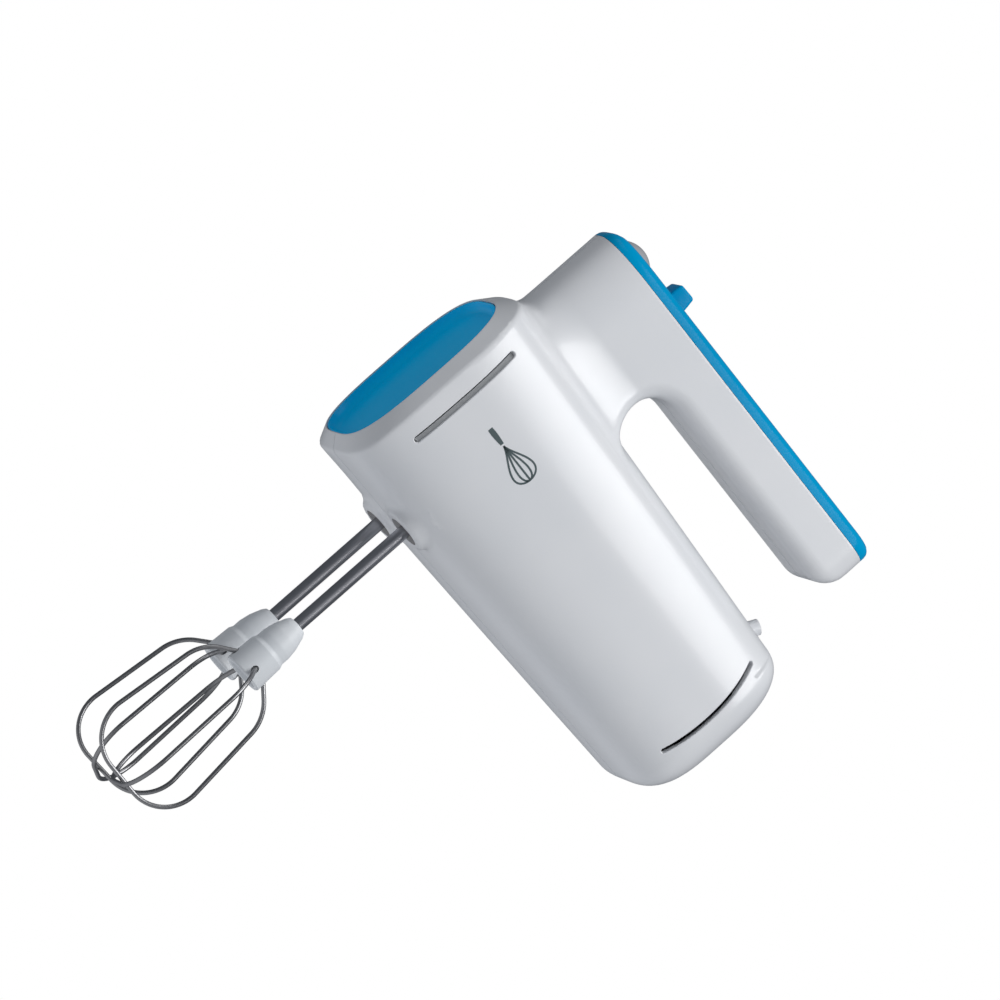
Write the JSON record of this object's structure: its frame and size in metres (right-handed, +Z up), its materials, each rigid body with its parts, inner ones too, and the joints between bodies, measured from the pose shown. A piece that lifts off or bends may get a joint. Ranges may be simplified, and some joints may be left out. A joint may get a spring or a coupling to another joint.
{
  "type": "hand mixer",
  "caption": "Hand mixer with an open grip handle over a rounded motor body, recessed front cap, sliding speed tab, eject button and wire-loop beaters.",
  "frame": {"origin": "centre of the hand grip, in the middle of the handle over the finger gap", "axes": "+X to the rear of the mixer, along the handle; +Z up, so the beaters hang along -Z; Y across, with the mid plane at Y = 0"},
  "size_m": [0.2118, 0.0837, 0.3228],
  "materials": {
    "white": "satin gloss",
    "blue": "high gloss",
    "grey": "satin",
    "cream": "satin",
    "black": "matte",
    "rubber": "matte",
    "frame": "cast",
    "core": "laminated",
    "copper": "enamelled",
    "brass": "satin",
    "steel": "satin",
    "dark_steel": "polished",
    "board": "satin"
  },
  "bodies": {
    "housing": {"housing_left": "white", "housing_right": "white", "handle_cover": "blue", "front_cap": "blue", "spring_shelf": "cream", "cord_gland": "white", "cord_clamp": "cream", "vent_screen_front": "black", "vent_screen_rear": "black", "lower_bushes": "brass", "upper_bushes": "brass", "gearbox_frame": "frame", "stator_core": "core", "field_coils": "copper", "front_bearing": "brass", "middle_bearing": "brass", "rear_bearing": "brass", "motor_bracket": "frame", "brush_holders": "brass", "carbon_brushes": "black", "brush_springs": "steel", "switch_block": "cream", "switch_contacts": "brass", "circuit_board": "board", "suppressor": "blue", "lead_wires": "rubber", "case_screws": "steel", "bracket_screws": "steel"},
    "rotor": {"rotor_shaft": "steel", "worm": "steel", "armature_core": "core", "armature_winding": "copper", "commutator": "copper", "cooling_fan": "black"},
    "left_spindle": {"spindle_left": "steel", "gear_left": "cream", "clip_left": "steel"},
    "right_spindle": {"spindle_right": "steel", "gear_right": "cream", "clip_right": "steel"},
    "left_beater": {"beater_shaft_left": "dark_steel", "beater_hub_left": "white", "wire_outer_left": "dark_steel", "wire_inner_left": "dark_steel"},
    "right_beater": {"beater_shaft_right": "dark_steel", "beater_hub_right": "white", "wire_outer_right": "dark_steel", "wire_inner_right": "dark_steel"},
    "eject": {"eject_button": "grey", "eject_yoke": "cream", "eject_spring": "steel"},
    "speed": {"speed_tab": "blue", "speed_carrier": "black"}
  },
  "joints": [
    {"name": "motor_spin", "type": "hinge", "parent": "housing", "child": "rotor", "pos_m": [-0.082, 0, -0.0885], "axis": [1, 0, 0], "continuous": true},
    {"name": "left_spindle_spin", "type": "hinge", "parent": "housing", "child": "left_spindle", "pos_m": [-0.082, -0.018, -0.134], "axis": [0, 0, 1], "continuous": true},
    {"name": "right_spindle_spin", "type": "hinge", "parent": "housing", "child": "right_spindle", "pos_m": [-0.082, 0.018, -0.134], "axis": [0, 0, 1], "continuous": true},
    {"name": "eject_press", "type": "slide", "parent": "housing", "child": "eject", "axis": [0, 0, -1], "range_m": [0, 0.005], "stiffness_N_per_m": 400, "springref_m": -0.012, "deforming": ["eject_spring"]},
    {"name": "left_beater_release", "type": "slide", "parent": "left_spindle", "child": "left_beater", "axis": [0, 0, -1], "range_m": [0, 0.005]},
    {"name": "right_beater_release", "type": "slide", "parent": "right_spindle", "child": "right_beater", "axis": [0, 0, -1], "range_m": [0, 0.005]},
    {"name": "speed_select", "type": "slide", "parent": "housing", "child": "speed", "axis": [1, 0, 0], "range_m": [0, 0.02]}
  ],
  "couplings": [
    {"joint": "left_spindle_spin", "follows": "motor_spin", "ratio": 0.1},
    {"joint": "right_spindle_spin", "follows": "motor_spin", "ratio": -0.1},
    {"joint": "left_beater_release", "follows": "eject_press", "ratio": 1},
    {"joint": "right_beater_release", "follows": "eject_press", "ratio": 1}
  ]
}
